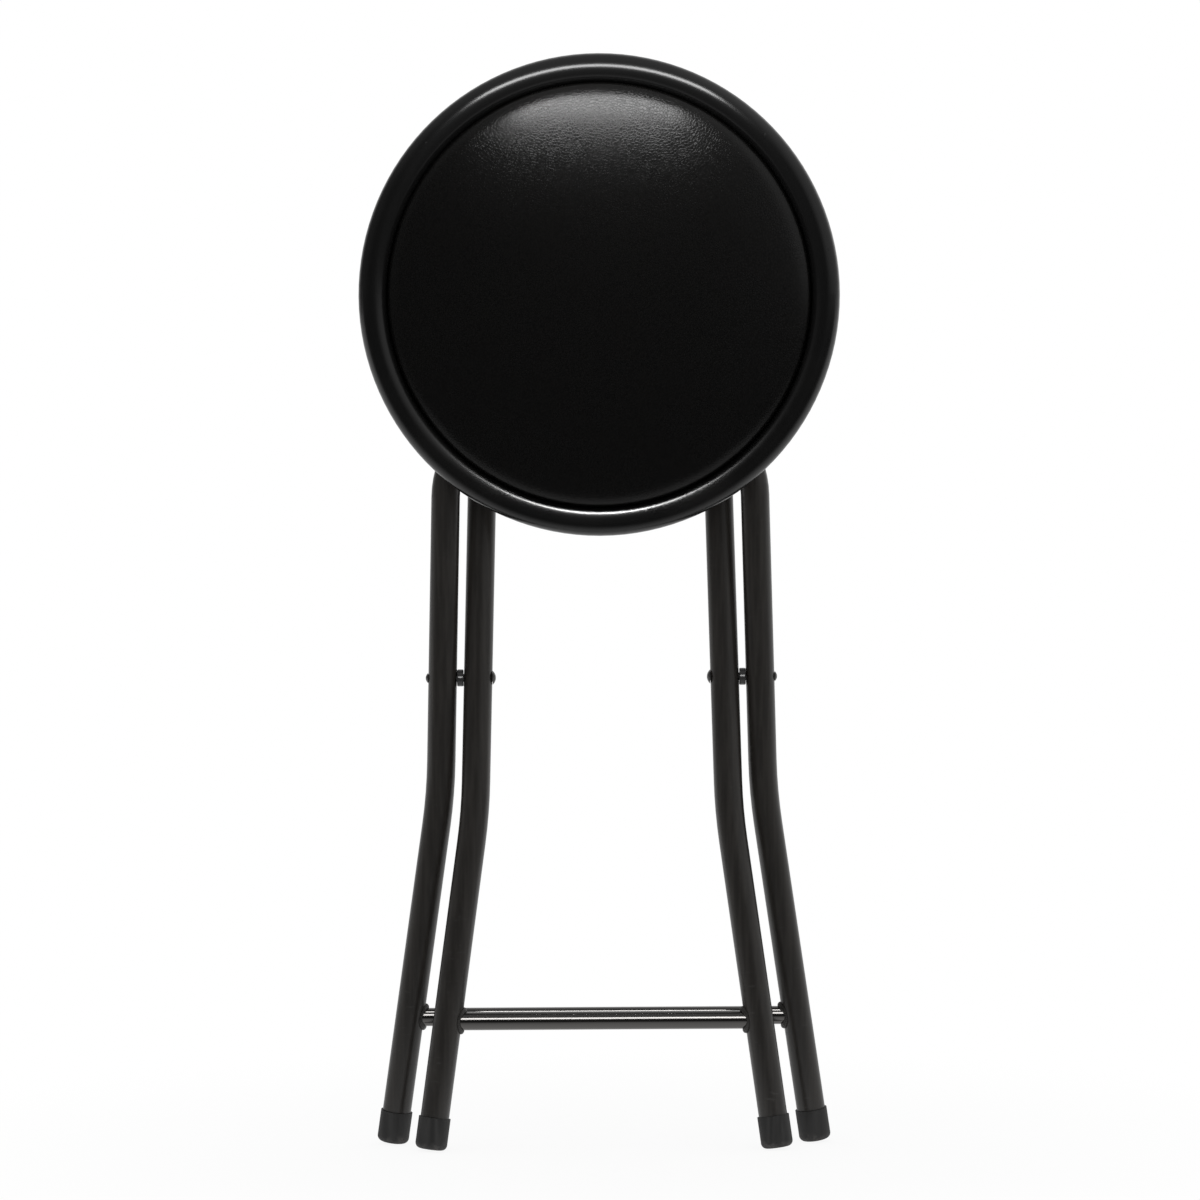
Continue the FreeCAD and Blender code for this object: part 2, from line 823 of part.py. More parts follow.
def catch_saddle():
    """A pressed tray under the catch strap: a stop wall, a lead-in ramp and a long web with rivet holes."""
    body = new_body("catch_saddle")
    room = leg_radius + from_sheet("catch_play")
    web_low = strap_bottom - catch_sheet
    wall_low = hinge_level - from_sheet("catch_reach")
    ramp = from_sheet("catch_ramp")
    ramp_drop = web_low - wall_low
    ramp_gauge = catch_sheet / cosine(ramp)
    ramp_run = ramp_drop * tangent(ramp)
    wall_in = hinge_offset + room
    ramp_in = hinge_offset - room
    tray = Drawing(body, "catch_saddle_section", "YZ_Plane")
    tray.path(
        (wall_in + catch_sheet, strap_bottom),
        (ramp_in - ramp_gauge + catch_sheet * tangent(ramp), strap_bottom),
        (ramp_in - ramp_gauge - ramp_run, wall_low),
        (ramp_in - ramp_run, wall_low),
        (ramp_in, web_low),
        (wall_in, web_low),
        (wall_in, wall_low),
        (wall_in + catch_sheet, wall_low),
        closed=True,
    )
    pad(body, tray, from_sheet("catch_width"))
    web = Drawing(body, "catch_saddle_web", "YZ_Plane")
    web.rectangle((ramp_in, web_low), (wall_in, strap_bottom))
    pad(body, web, from_sheet("catch_rivet_spacing") + 2 * from_sheet("catch_rivet_edge"))
    doc.recompute()
    holes = Drawing(body, "catch_saddle_holes", "XY_Plane")
    for sign in (1, -1):
        holes.circle((sign * catch_rivet_x, hinge_offset), seat_rivet_hole)
    pocket_through(body, holes)
    keep("catch_saddle", body, on_seat)


def staples():
    """The staples of the hem, all round it except where a strap lies under it."""
    crown = from_sheet("staple_crown")
    leaf = from_sheet("staple_leaf")
    leg = from_sheet("staple_leg")
    body = new_body("cover_staple")
    section = Drawing(body, "cover_staple_section", "XZ_Plane")
    half = crown / 2
    section.path(
        (-half, -leaf),
        (half, -leaf),
        (half, leg),
        (half - leaf, leg),
        (half - leaf, 0),
        (leaf - half, 0),
        (leaf - half, leg),
        (-half, leg),
        closed=True,
    )
    pad(body, section, from_sheet("staple_wire"))
    ring = hem_radius + from_sheet("staple_inset")
    clear = strap_width.value / 2 + crown.value
    count = round(360 / from_sheet("staple_pitch").value)
    places = []
    for i in range(count):
        angle = 360 * i / count
        off_strap = abs(abs(ring.value * math.sin(math.radians(angle))) - hinge_offset.value)
        if off_strap > clear:
            places.append(turn(Z, angle) * move(ring, 0, pad_bottom) * turn(Z, 90))
    group("cover_staples", body, places, on_seat)


rim()
cover()
foam()
board()
staples()

bracket_rivets = [(sx * hinge_x, sy * bracket_rivet_y - hinge_offset) for sx in (1, -1) for sy in (1, -1)]
catch_rivets = [(sx * catch_rivet_x, hinge_offset) for sx in (1, -1)]
strap("hinge_strap", -hinge_offset, bracket_rivets, -1)
strap("catch_strap", hinge_offset, catch_rivets, 1)
group("board_screws", board_screw(), [move(x, y, strap_bottom) for x, y in screw_places], on_seat)

for side, sign in (("right", 1), ("left", -1)):
    hinge_bracket(f"hinge_bracket_{side}", sign * hinge_x)
    hinge_bush(f"hinge_bush_{side}", sign * hinge_x)
flange_bottom = strap_bottom - from_sheet("bracket_sheet")
hinge_rivet = seat_rivet_master("hinge_rivet", strap_top - flange_bottom)
group("hinge_bracket_rivets", hinge_rivet, [move(x, y, flange_bottom) for x, y in bracket_rivets], on_seat)

catch_saddle()
catch_bottom = strap_bottom - catch_sheet
catch_rivet = seat_rivet_master("catch_rivet", strap_top - catch_bottom)
group("catch_rivets", catch_rivet, [move(x, y, catch_bottom) for x, y in catch_rivets], on_seat)

doc.recompute()

for thing in doc.Objects:
    if "Invalid" in thing.State or "Error" in thing.State:
        raise RuntimeError(f"{thing.Label} failed: {thing.State}")
for name, thing in nodes.items():
    if thing.Shape.isNull() or not thing.Shape.isValid() or not thing.Shape.Solids:
        raise RuntimeError(f"{name} has no valid solid")

print(f"folded lean {folded_lean.value:.4f}, open lean {open_lean.value:.4f} degrees")
print(f"pivot at y {at_pivot.Base.y:.3f}, z {at_pivot.Base.z:.3f} mm")
hinge = on_outer.multVec(Vector(0, 0, top_height.value))
print(f"seat hinge at y {hinge.y:.3f}, z {hinge.z:.3f} mm")

os.makedirs("parts", exist_ok=True)
for name, thing in nodes.items():
    thing.Shape.exportStep(f"parts/{name}.step")
    print(f"{name}: {len(thing.Shape.Solids)} solids, {thing.Shape.Volume:.0f} mm3")
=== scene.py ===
# %% [markdown]
# # A folding stool with a round padded seat
# The stool is shown folded and upright, as it leans in a cupboard: the round seat lies along the
# legs and faces us. A CAD program has already made every rigid piece, so this lesson keeps those
# solids as a fixed frame. Blender adds what a CAD program is poor at: the cushion, the surfaces,
# the small signs of making, and the light.

# %% Load the frame
import json
import math

import bpy
from mathutils import Matrix, Vector


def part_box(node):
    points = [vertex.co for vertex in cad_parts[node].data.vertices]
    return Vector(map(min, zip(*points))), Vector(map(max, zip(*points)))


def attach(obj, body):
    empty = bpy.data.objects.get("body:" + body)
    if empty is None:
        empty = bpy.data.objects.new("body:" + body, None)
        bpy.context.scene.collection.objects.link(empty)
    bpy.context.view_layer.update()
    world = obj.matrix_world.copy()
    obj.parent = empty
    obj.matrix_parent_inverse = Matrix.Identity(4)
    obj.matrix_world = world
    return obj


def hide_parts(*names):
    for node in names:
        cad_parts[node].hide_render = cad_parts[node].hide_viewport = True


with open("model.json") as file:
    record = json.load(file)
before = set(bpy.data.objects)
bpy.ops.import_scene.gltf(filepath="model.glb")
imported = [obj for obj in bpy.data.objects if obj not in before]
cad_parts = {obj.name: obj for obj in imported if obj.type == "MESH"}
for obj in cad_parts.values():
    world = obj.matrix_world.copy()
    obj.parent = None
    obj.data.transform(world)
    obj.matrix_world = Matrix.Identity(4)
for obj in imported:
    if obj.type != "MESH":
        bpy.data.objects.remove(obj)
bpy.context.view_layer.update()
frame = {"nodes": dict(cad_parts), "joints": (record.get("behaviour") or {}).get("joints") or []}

# %% [markdown]
# ## Where the seat is
# The seat is a disc that leans a few degrees with the legs. It is easiest to model the cushion
# lying flat at the origin and to lay it into the seat afterwards, so we need the matrix that does
# this. The lean is the angle of the line from the legs' pivot to the seat's hinge, and the rim is
# a plain ring, so the middle of its box is the middle of the seat.

# %% The seat's own frame
joint_places = {joint["name"]: Vector(joint["pos_m"]) for joint in frame["joints"]}
leg_line = joint_places["seat_fold"] - joint_places["outer_swing"]
lean = math.atan2(-leg_line.y, leg_line.z)


def middle_of(node):
    """The middle of a CAD node's box."""
    low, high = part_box(node)
    return (Vector(low) + Vector(high)) / 2


seat_frame = Matrix.Translation(middle_of("seat_rim")) @ Matrix.Rotation(math.radians(90) + lean, 4, "X")


def reach_in_seat(node):
    """How far a node reaches sideways, its lowest and its highest level, all in the seat's frame."""
    to_seat = seat_frame.inverted()
    points = [to_seat @ vertex.co for vertex in frame["nodes"][node].data.vertices]
    levels = [point.z for point in points]
    return max(math.hypot(point.x, point.y) for point in points), min(levels), max(levels)


cushion_radius, cushion_bottom, cushion_top = reach_in_seat("seat_cover")
print(f"lean {math.degrees(lean):.2f} degrees, cushion radius {cushion_radius:.4f},",
      f"from {cushion_bottom:.4f} to {cushion_top:.4f}")

# %% [markdown]
# ## The camera
# The photograph was taken from straight in front and from far away: both sides of the legs look
# alike, and the floor end of the legs is hardly larger than the seat. A long lens, level, at half
# the height of the stool gives that picture.

# %% Place the camera
camera_roll = 0.33
bpy.ops.object.select_all(action="DESELECT")
bpy.ops.object.camera_add(location=(-0.0006, -2.4888, 0.3446),
                          rotation=(math.radians(90), math.radians(camera_roll), 0))
camera = bpy.context.object
camera.name = "camera"
camera.data.lens = 118.8
camera.data.sensor_width = 36
camera.data.clip_end = 50
bpy.context.scene.camera = camera
print("camera at", tuple(round(value, 4) for value in camera.location))

# %% [markdown]
# ## The cushion: a slack pad
# The cushion is foam on a board, under one disc of vinyl that is drawn over the edge and stapled
# beneath. Lathing its outline would give a perfect dome, which looks turned, not sewn. So we make
# a pad that is too flat, and let a cloth simulation blow it up. A grid of even squares behaves best
# in a simulation, so the top starts as a circle that is filled with a grid, and its edge is then
# extruded ring by ring over the shoulder, down the side and under the board. The pad is squeezed into
# its rim, so its side hugs the round tube: it bulges in front of the tube and behind it, and is
# waisted between. No light shows through the gap then.

# %% Fill the top and extrude the edge
rim_reach, rim_bottom, rim_top = reach_in_seat("seat_rim")
rim_half = (rim_top - rim_bottom) / 2
rim_ring = rim_reach - rim_half
hug_gap = 0.00015
crown_edge = 80
shoulder_round = 0.0098
side_top = 0.0016
lip_round = 0.0008
hem_radius = 0.1048
ring_points = 192
shoulder_steps = 8
waist_steps = 8
lip_steps = 3
hem_steps = 6


def hug(level):
    """How wide the pad is at a level, where it lies against the rim's tube."""
    return rim_ring - math.sqrt(rim_half ** 2 - level ** 2) - hug_gap


def between(first, last, steps):
    """Even steps from a first value, which is left out, to a last one."""
    return [first + (last - first) * step / steps for step in range(1, steps + 1)]


def rounded(radius, level, size, first, last, steps):
    """Rings round a corner: a circle of the given size between two angles, in degrees."""
    for degrees in between(first, last, steps):
        angle = math.radians(degrees)
        yield radius + size * math.cos(angle), level + size * math.sin(angle)


def only(piece):
    """Selects one piece and nothing else, and makes it the active one."""
    bpy.ops.object.select_all(action="DESELECT")
    piece.select_set(True)
    bpy.context.view_layer.objects.active = piece


def edit(piece):
    """Goes into edit mode on one piece."""
    only(piece)
    bpy.ops.object.mode_set(mode="EDIT")


lip_level = cushion_bottom + lip_round
lip_radius = hug(lip_level)
lip_middle = lip_radius - lip_round
shoulder_middle = hug(side_top) - shoulder_round
rings = [
    *rounded(shoulder_middle, side_top, shoulder_round, crown_edge, 0, shoulder_steps),
    *[(hug(level), level) for level in between(side_top, lip_level, waist_steps)],
    *rounded(lip_middle, lip_level, lip_round, 0, -90, lip_steps),
    *[(radius, cushion_bottom) for radius in between(lip_middle, hem_radius, hem_steps)],
]
first_angle = math.radians(crown_edge)
first_radius = shoulder_middle + shoulder_round * math.cos(first_angle)
first_level = side_top + shoulder_round * math.sin(first_angle)

bpy.ops.object.select_all(action="DESELECT")
bpy.ops.mesh.primitive_circle_add(vertices=ring_points, radius=first_radius, fill_type="NOTHING",
                                  location=(0, 0, first_level))
cushion = bpy.context.object
cushion.name = "seat_cushion"
bpy.ops.object.transform_apply(location=True)
edit(cushion)
bpy.ops.mesh.select_mode(type="EDGE")
bpy.ops.mesh.select_all(action="SELECT")
bpy.ops.mesh.fill_grid(span=ring_points // 4)
bpy.ops.mesh.region_to_loop()
radius, level = first_radius, first_level
for next_radius, next_level in rings:
    bpy.ops.mesh.extrude_region_move(TRANSFORM_OT_translate={"value": (0, 0, next_level - level)})
    ratio = next_radius / radius
    bpy.ops.transform.resize(value=(ratio, ratio, 1), center_override=(0, 0, next_level))
    radius, level = next_radius, next_level
bpy.ops.mesh.fill_grid(span=ring_points // 4)
bpy.ops.mesh.select_all(action="SELECT")
bpy.ops.mesh.normals_make_consistent(inside=False)
bpy.ops.object.mode_set(mode="OBJECT")
print("slack pad:", len(cushion.data.vertices), "points,", len(cushion.data.polygons), "faces")

# %% [markdown]
# ## The cushion: crown and pressure
# The pad's top is first raised to a low crown, a few millimetres short of the finished height. Then
# Cloth pushes it out with pressure, while the side and the underside are pinned, as the board pins
# them. Twenty frames are enough. A cap on the movement keeps the cloth from bursting out of its rim.
# The cloth has no weight here, and finds its own slopes: flatter in the middle, steeper at the edge.

# %% Raise the crown
slack = 0.0026
crown_power = 4.2
edge_tolerance = 1e-5


def raise_crown(piece, height):
    """Lifts the top of the pad, most in the middle and not at all at its edge."""
    for vertex in piece.data.vertices:
        if vertex.co.z > first_level - edge_tolerance:
            share = min(1, math.hypot(vertex.co.x, vertex.co.y) / first_radius)
            vertex.co.z += height * (1 - share ** crown_power)


def group(piece, name, wanted):
    """Makes a vertex group of the points for which a test on their level is true."""
    points = [vertex.index for vertex in piece.data.vertices if wanted(vertex.co.z)]
    piece.vertex_groups.new(name=name).add(points, 1.0, "REPLACE")
    print(len(points), "points are", name)


raise_crown(cushion, cushion_top - slack - first_level)
pinned_level = side_top + 0.8 * shoulder_round
group(cushion, "pinned", lambda level: level < pinned_level)

# %% Blow up the pad
swell_cap = 0.006


def blow_up(piece, frames=20):
    """Runs the cloth simulation on a piece and applies its last frame."""
    only(piece)
    bpy.ops.object.modifier_add(type="CLOTH")
    cloth = piece.modifiers[-1]
    cloth.settings.quality = 6
    cloth.settings.mass = 0.2
    cloth.settings.tension_stiffness = 12
    cloth.settings.compression_stiffness = 12
    cloth.settings.bending_stiffness = 0.3
    cloth.settings.use_pressure = True
    cloth.settings.uniform_pressure_force = 4
    cloth.settings.vertex_group_mass = "pinned"
    cloth.settings.effector_weights.gravity = 0
    cloth.point_cache.frame_start = 1
    cloth.point_cache.frame_end = frames
    for number in range(1, frames + 1):
        bpy.context.scene.frame_set(number)
    bpy.ops.object.modifier_apply(modifier=cloth.name)
    bpy.context.scene.frame_set(1)


start = [vertex.co.copy() for vertex in cushion.data.vertices]
blow_up(cushion)
furthest = 0
for vertex, before in zip(cushion.data.vertices, start):
    moved = vertex.co - before
    furthest = max(furthest, moved.length)
    if moved.length > swell_cap:
        vertex.co = before + moved.normalized() * swell_cap
top = max(vertex.co.z for vertex in cushion.data.vertices)
print(f"pad swelled by up to {furthest * 1000:.1f} mm, top at {top:.4f}")

# %% [markdown]
# ## The cushion: an even top
# Thin cloth keeps small dents, but foam under it evens them out. A Smooth modifier does the same to
# the top of the pad and the upper half of its shoulder.

# %% Smooth the top
foam_smoothing = 40


def apply_modifier(piece, kind, **settings):
    """Adds a modifier to a piece, sets it and applies it."""
    only(piece)
    bpy.ops.object.modifier_add(type=kind)
    modifier = piece.modifiers[-1]
    for name, value in settings.items():
        setattr(modifier, name, value)
    bpy.ops.object.modifier_apply(modifier=modifier.name)


foam_level = side_top + 0.5 * shoulder_round
group(cushion, "crown", lambda level: level > foam_level)
apply_modifier(cushion, "SMOOTH", factor=0.5, iterations=foam_smoothing, vertex_group="crown")

# %% [markdown]
# ## The cushion: hem and thickness
# Under the board the vinyl ends in a hem, so the disc inside the hem goes. Where the round edge of
# a flat sheet is gathered on to a smaller circle it has too much cloth, and lies in small pleats.
# The two steel straps press it flat where they cross it. One subdivision smooths the squares, and
# Solidify gives the sheet its thickness, inwards, so the outline stays.

# %% Cut the hem free
facing_down = -0.9


def select_faces(piece, wanted):
    """Selects the faces of a piece for which a test on their middle and normal is true."""
    bpy.ops.mesh.select_mode(type="FACE")
    bpy.ops.mesh.select_all(action="DESELECT")
    bpy.ops.object.mode_set(mode="OBJECT")
    for face in piece.data.polygons:
        face.select = wanted(face.center, face.normal)
    bpy.ops.object.mode_set(mode="EDIT")


def inside_hem(middle, normal):
    """True for a face of the underside that lies inside the hem."""
    return normal.z < facing_down and math.hypot(middle.x, middle.y) < hem_radius


edit(cushion)
select_faces(cushion, inside_hem)
bpy.ops.mesh.delete(type="FACE")
bpy.ops.object.mode_set(mode="OBJECT")
cushion.vertex_groups.clear()
apply_modifier(cushion, "SUBSURF", levels=1, render_levels=1)
print("open sheet:", len(cushion.data.polygons), "faces")

# %% Pleat the hem and thicken the sheet
pleats = 46
pleat_depth = 0.0005
pleat_start = 0.003
pleat_full = 0.009
flat_band = 0.0004
strap_middle = 0.067
strap_half = 0.026
strap_fade = 0.009
vinyl_thickness = 0.0008


def smooth_step(value, low, high):
    """0 below low, 1 above high, and a soft step between."""
    share = max(0.0, min(1.0, (value - low) / (high - low)))
    return share * share * (3 - 2 * share)


for vertex in cushion.data.vertices:
    point = vertex.co
    if point.z < cushion_bottom + flat_band:
        free = smooth_step(abs(abs(point.y) - strap_middle), strap_half, strap_half + strap_fade)
        inside = smooth_step(lip_radius - math.hypot(point.x, point.y), pleat_start, pleat_full)
        angle = math.atan2(point.y, point.x)
        # Two slow waves draw some pleats closer together than others.
        phase = pleats * angle + 1.3 * math.sin(5 * angle) + 0.8 * math.sin(11 * angle)
        fold = 0.5 + 0.5 * math.sin(phase)
        point.z -= pleat_depth * free * inside * fold ** 2
apply_modifier(cushion, "SOLIDIFY", thickness=vinyl_thickness, offset=-1)

# %% Lay the cushion into the leaning seat
only(cushion)
cushion.matrix_world = seat_frame
bpy.ops.object.transform_apply(location=True, rotation=True, scale=True)
bpy.ops.object.shade_smooth()
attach(cushion, "seat")
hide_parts("seat_cover", "seat_foam")
print("cushion:", len(cushion.data.polygons), "faces")

# %% [markdown]
# ## A short way to write shader maths
# A finish is a tree of nodes. Written out node by node it is hard to read, so one small class wraps
# a node's output and gives it the usual operators: `1 - dust * 0.3` then adds the Math nodes by
# itself. A second class holds the tree, and one method of it adds any other node. A third is a whole
# material, which is a tree with a Principled shader in it.

# %% Sockets that can be added and multiplied
class Value:
    """An output of a node. Sums with it add Math nodes to the tree."""

    def __init__(self, tree, socket):
        self.tree = tree
        self.socket = socket

    def maths(self, operation, first, second):
        return self.tree.node("ShaderNodeMath", {"operation": operation}, {0: first, 1: second})

    def __add__(self, other):
        return self.maths("ADD", self, other)

    def __radd__(self, other):
        return self.maths("ADD", other, self)

    def __sub__(self, other):
        return self.maths("SUBTRACT", self, other)

    def __rsub__(self, other):
        return self.maths("SUBTRACT", other, self)

    def __mul__(self, other):
        return self.maths("MULTIPLY", self, other)

    def __rmul__(self, other):
        return self.maths("MULTIPLY", other, self)


# %% A tree of nodes
class Tree:
    """A node tree that a finish, the floor or the world is written in."""

    def __init__(self, node_tree):
        self.node_tree = node_tree

    def node(self, kind, settings=None, inputs=None, output=0):
        """Adds a node: its settings are set first, then its sockets get values or links."""
        added = self.node_tree.nodes.new(kind)
        for name, value in (settings or {}).items():
            setattr(added, name, value)
        for name, value in (inputs or {}).items():
            self.feed(added.inputs[name], value)
        return Value(self, added.outputs[output])

    def feed(self, socket, value):
        """Links a value to a socket, or sets a number or colour on it."""
        if isinstance(value, Value):
            self.node_tree.links.new(value.socket, socket)
        else:
            socket.default_value = value

    def place(self, scale=(1, 1, 1), turn=(0, 0, 0)):
        """The point on the piece, with a pattern's own stretch and turn."""
        point = self.node("ShaderNodeTexCoord", output="Object")
        return self.node("ShaderNodeMapping", {}, {"Vector": point, "Rotation": turn, "Scale": scale})

    def noise(self, place, scale, detail=3.0, roughness=0.55):
        """Soft random patches, from 0 to 1."""
        return self.node("ShaderNodeTexNoise", {}, {"Vector": place, "Scale": scale, "Detail": detail,
                                                    "Roughness": roughness})

    def step(self, value, low, high):
        """0 below low, 1 above high, and a soft step between."""
        return self.node("ShaderNodeMapRange", {"interpolation_type": "SMOOTHSTEP"},
                         {"Value": value, "From Min": low, "From Max": high})

    def mix(self, share, first, second):
        """A colour between two colours."""
        return self.node("ShaderNodeMix", {"data_type": "RGBA"}, {0: share, 6: first, 7: second}, output=2)

    def bump(self, height, distance):
        """A normal that follows a height."""
        return self.node("ShaderNodeBump", {}, {"Height": height, "Distance": distance, "Strength": 1.0})

    def height_of_floor(self):
        """The height over the floor of the point that is shaded, at rest."""
        point = self.node("ShaderNodeTexCoord", output="Object")
        return self.node("ShaderNodeSeparateXYZ", {}, {0: point}, output=2)


# %% A material
class Finish(Tree):
    """A material with a Principled shader."""

    def __init__(self, name, **constants):
        self.material = bpy.data.materials.new(name)
        self.material.use_nodes = True
        super().__init__(self.material.node_tree)
        self.shader = self.material.node_tree.nodes["Principled BSDF"]
        self.set(**constants)

    def set(self, **inputs):
        """Feeds inputs of the shader, base_color for Base Color and so on."""
        for name, value in inputs.items():
            self.feed(self.shader.inputs[name.replace("_", " ").title().replace("Ior", "IOR")], value)

    def wear(self, *nodes):
        """Puts the finish on CAD nodes or new pieces."""
        for node in nodes:
            piece = frame["nodes"][node] if isinstance(node, str) else node
            piece.data.materials.clear()
            piece.data.materials.append(self.material)
        print(self.material.name, "on", len(nodes), "pieces")


def grey(value, warmth=0.0):
    """A grey, a little warm or cool."""
    return (value * (1 + warmth), value, value * (1 - warmth), 1)


# %% [markdown]
# ## Vinyl
# The cover is black leathercloth: a vinyl skin with a shallow pebble grain of a millimetre or less.
# The grain is what makes its shine broad and grey instead of sharp, so it gets a cell pattern as a
# bump, and the valleys between the pebbles are rougher and painted a touch darker, as painted shade in
# the hollows. Soft patches in the roughness are the marks of hands and dust.

# %% The cushion's vinyl
vinyl = Finish("black_vinyl_grain", specular_ior_level=0.36)
spot = vinyl.place()
drift = vinyl.node("ShaderNodeTexNoise", {}, {"Vector": spot, "Scale": 700.0}, output=1)
small_drift = vinyl.node("ShaderNodeVectorMath", {"operation": "SCALE"}, {0: drift, "Scale": 0.0006})
warped = vinyl.node("ShaderNodeVectorMath", {"operation": "ADD"}, {0: spot, 1: small_drift})
pebble = vinyl.node("ShaderNodeTexVoronoi", {"feature": "DISTANCE_TO_EDGE"},
                    {"Vector": warped, "Scale": 600.0})
valley_with_painted_shade = 1 - vinyl.step(pebble, 0.02, 0.22)
handled = vinyl.noise(spot, 22.0, 4.0)
pores = vinyl.noise(spot, 2600.0, 2.0)
# Painted shade: the valleys between the pebbles are painted darker than the pebbles.
vinyl.set(base_color=vinyl.mix(valley_with_painted_shade, grey(0.0036, 0.05), grey(0.0018, 0.05)),
          roughness=0.2 + handled * 0.03 + valley_with_painted_shade * 0.06,
          normal=vinyl.bump(pores * 0.25 - valley_with_painted_shade, 0.000045))
vinyl.wear(cushion)

# %% [markdown]
# ## Gloss enamel on the rim
# The rim is dipped in black gloss paint. Thick gloss is never quite flat: it has orange peel, a
# faint ripple of a few millimetres that makes reflections wobble, and a few dust nibs that were
# caught while it dried. Both are bumps. The nibs are also a little duller, and so are the patches
# where hands have held the rim.

# %% The rim's gloss
gloss = Finish("black_gloss_enamel_dipped")
spot = gloss.place()
peel = gloss.noise(spot, 260.0, 2.0)
wave = gloss.noise(spot, 45.0, 2.0)
nib_cells = gloss.node("ShaderNodeTexVoronoi", {}, {"Vector": spot, "Scale": 70.0})
nibs = 1 - gloss.step(nib_cells, 0.03, 0.07)
touched = gloss.step(gloss.noise(spot, 14.0, 5.0), 0.5, 0.72)
gloss.set(base_color=gloss.mix(touched, grey(0.0034), grey(0.0052, 0.03)),
          roughness=0.24 + touched * 0.05 + nibs * 0.15,
          normal=gloss.bump(peel * 0.25 + wave * 0.4 + nibs * 0.5, 0.00005))
gloss.wear("seat_rim")

# %% [markdown]
# ## Enamel on the legs
# The legs are sprayed with a thinner, warm grey-black enamel. Drawn tube keeps faint lines along
# its length, which show in the shine and the bump. In the colour the same streaks are a painted sheen:
# lighter stripes that stand in for long lines of light on the tubes. The pattern is noise that is
# stretched along the legs. Scuffs are short lighter marks, rougher than the rest: few higher up, and many
# near the floor.

# %% The legs' enamel
leg_paint = Finish("black_leg_enamel_sprayed")
drawn_lines_and_sheen = leg_paint.noise(leg_paint.place(scale=(1, 1, 0.025)), 420.0, 3.0)
patch = leg_paint.noise(leg_paint.place(), 16.0, 4.0)
fine = leg_paint.noise(leg_paint.place(), 900.0, 2.0)
height = leg_paint.height_of_floor()
low_down = 1 - leg_paint.step(height, 0.02, 0.16)
scratch_field = leg_paint.noise(leg_paint.place(scale=(1, 1, 5), turn=(0.5, 0.3, 0)), 120.0, 4.0)
scuffed = leg_paint.step(scratch_field, 0.62, 0.72) * (0.25 + low_down * 0.75)
# Painted sheen: the lighter lengthwise streaks in the colour stand in for lines of light along the tubes.
shade = leg_paint.mix(leg_paint.step(drawn_lines_and_sheen, 0.35, 0.7), grey(0.016, 0.12), grey(0.0235, 0.12))
leg_paint.set(base_color=leg_paint.mix(scuffed * 0.5, shade, grey(0.05, 0.05)),
              roughness=0.27 + drawn_lines_and_sheen * 0.08 + patch * 0.06 + scuffed * 0.2,
              normal=leg_paint.bump(drawn_lines_and_sheen * 0.5 + fine * 0.2 - scuffed * 0.6, 0.00004))
leg_paint.wear("outer_leg_tube", "inner_leg_tube")

# %% [markdown]
# ## Crossbars
# The crossbars are brighter than the legs: they are plated black, and a hand that lifts the stool
# polishes them, so they draw clean white lines. A metal with a dark colour gives that. Faint long
# clouds in the colour and the shine are all the wear they show.

# %% Black plating on the crossbars
bar_paint = Finish("black_crossbar_plating", metallic=1.0)
drawn_lines_and_sheen = bar_paint.noise(bar_paint.place(scale=(0.03, 1, 1)), 300.0, 2.0)
patch = bar_paint.noise(bar_paint.place(scale=(0.3, 1, 1)), 30.0, 3.0)
bar_paint.set(base_color=bar_paint.mix(drawn_lines_and_sheen, grey(0.10, 0.03), grey(0.13, 0.03)),
              roughness=0.12 + drawn_lines_and_sheen * 0.02 + patch * 0.04)
bar_paint.wear("outer_crossbar", "inner_crossbar")

# %% [markdown]
# ## Weld beads
# A weld bead is a row of drops of steel, each laid on the last while that was still soft, so it has
# ripples. We model one drop, a flattened ball, and copy it along the seam where the bar meets the
# leg. The end of the bar is cut to the leg's shape, so the points at its end are the seam. A welder
# lays more steel above and below the bar than in front, and never evenly. The drops are then melted
# together: a voxel remesh makes one skin of them, and a smoothing softens it.

# %% One drop and a way to melt drops into a bead
drop_subdivisions = 2
drop_thickness = 0.55
melt_voxel = 0.00032

bpy.ops.object.select_all(action="DESELECT")
bpy.ops.mesh.primitive_ico_sphere_add(subdivisions=drop_subdivisions, radius=1, location=(0, 0, 0))
drop = bpy.context.object
drop.name = "weld_drop"
edit(drop)
bpy.ops.mesh.select_all(action="SELECT")
bpy.ops.transform.resize(value=(1, 1, drop_thickness), center_override=(0, 0, 0))
bpy.ops.object.mode_set(mode="OBJECT")


def melt(name, drops):
    """Makes one bead of drops, each given by its place, the way along the seam, and its size."""
    copies = []
    for place, along, size in drops:
        copied = drop.copy()
        copied.data = drop.data.copy()
        bpy.context.collection.objects.link(copied)
        turn = along.to_track_quat("Z", "Y").to_matrix().to_4x4()
        copied.matrix_world = Matrix.Translation(place) @ turn @ Matrix.Scale(size, 4)
        copies.append(copied)
    bpy.ops.object.select_all(action="DESELECT")
    for copied in copies:
        copied.select_set(True)
    bead = copies[0]
    bpy.context.view_layer.objects.active = bead
    bpy.ops.object.join()
    bpy.ops.object.transform_apply(location=True, rotation=True, scale=True)
    bead.name = name
    apply_modifier(bead, "REMESH", mode="VOXEL", voxel_size=melt_voxel)
    apply_modifier(bead, "SMOOTH", factor=0.5, iterations=2)
    bpy.ops.object.shade_smooth()
    print(name, "of", len(copies), "drops,", len(bead.data.polygons), "faces")
    return bead


# %% Beads at the ends of the crossbars
drops_round_bar = 34
drop_size = 0.0012
drop_growth = 0.0011
drop_unevenness = 0.0003
bead_lift = 0.0006
look_ahead = 0.1
skin_share = 0.97
nearest = 4


def uneven(angle, side):
    """From -1 to 1: how a hand's pace changes round the bar, not the same on both sides."""
    return 0.6 * math.sin(3 * angle + 1.7 * side) + 0.4 * math.sin(7 * angle + 2.9 * side)


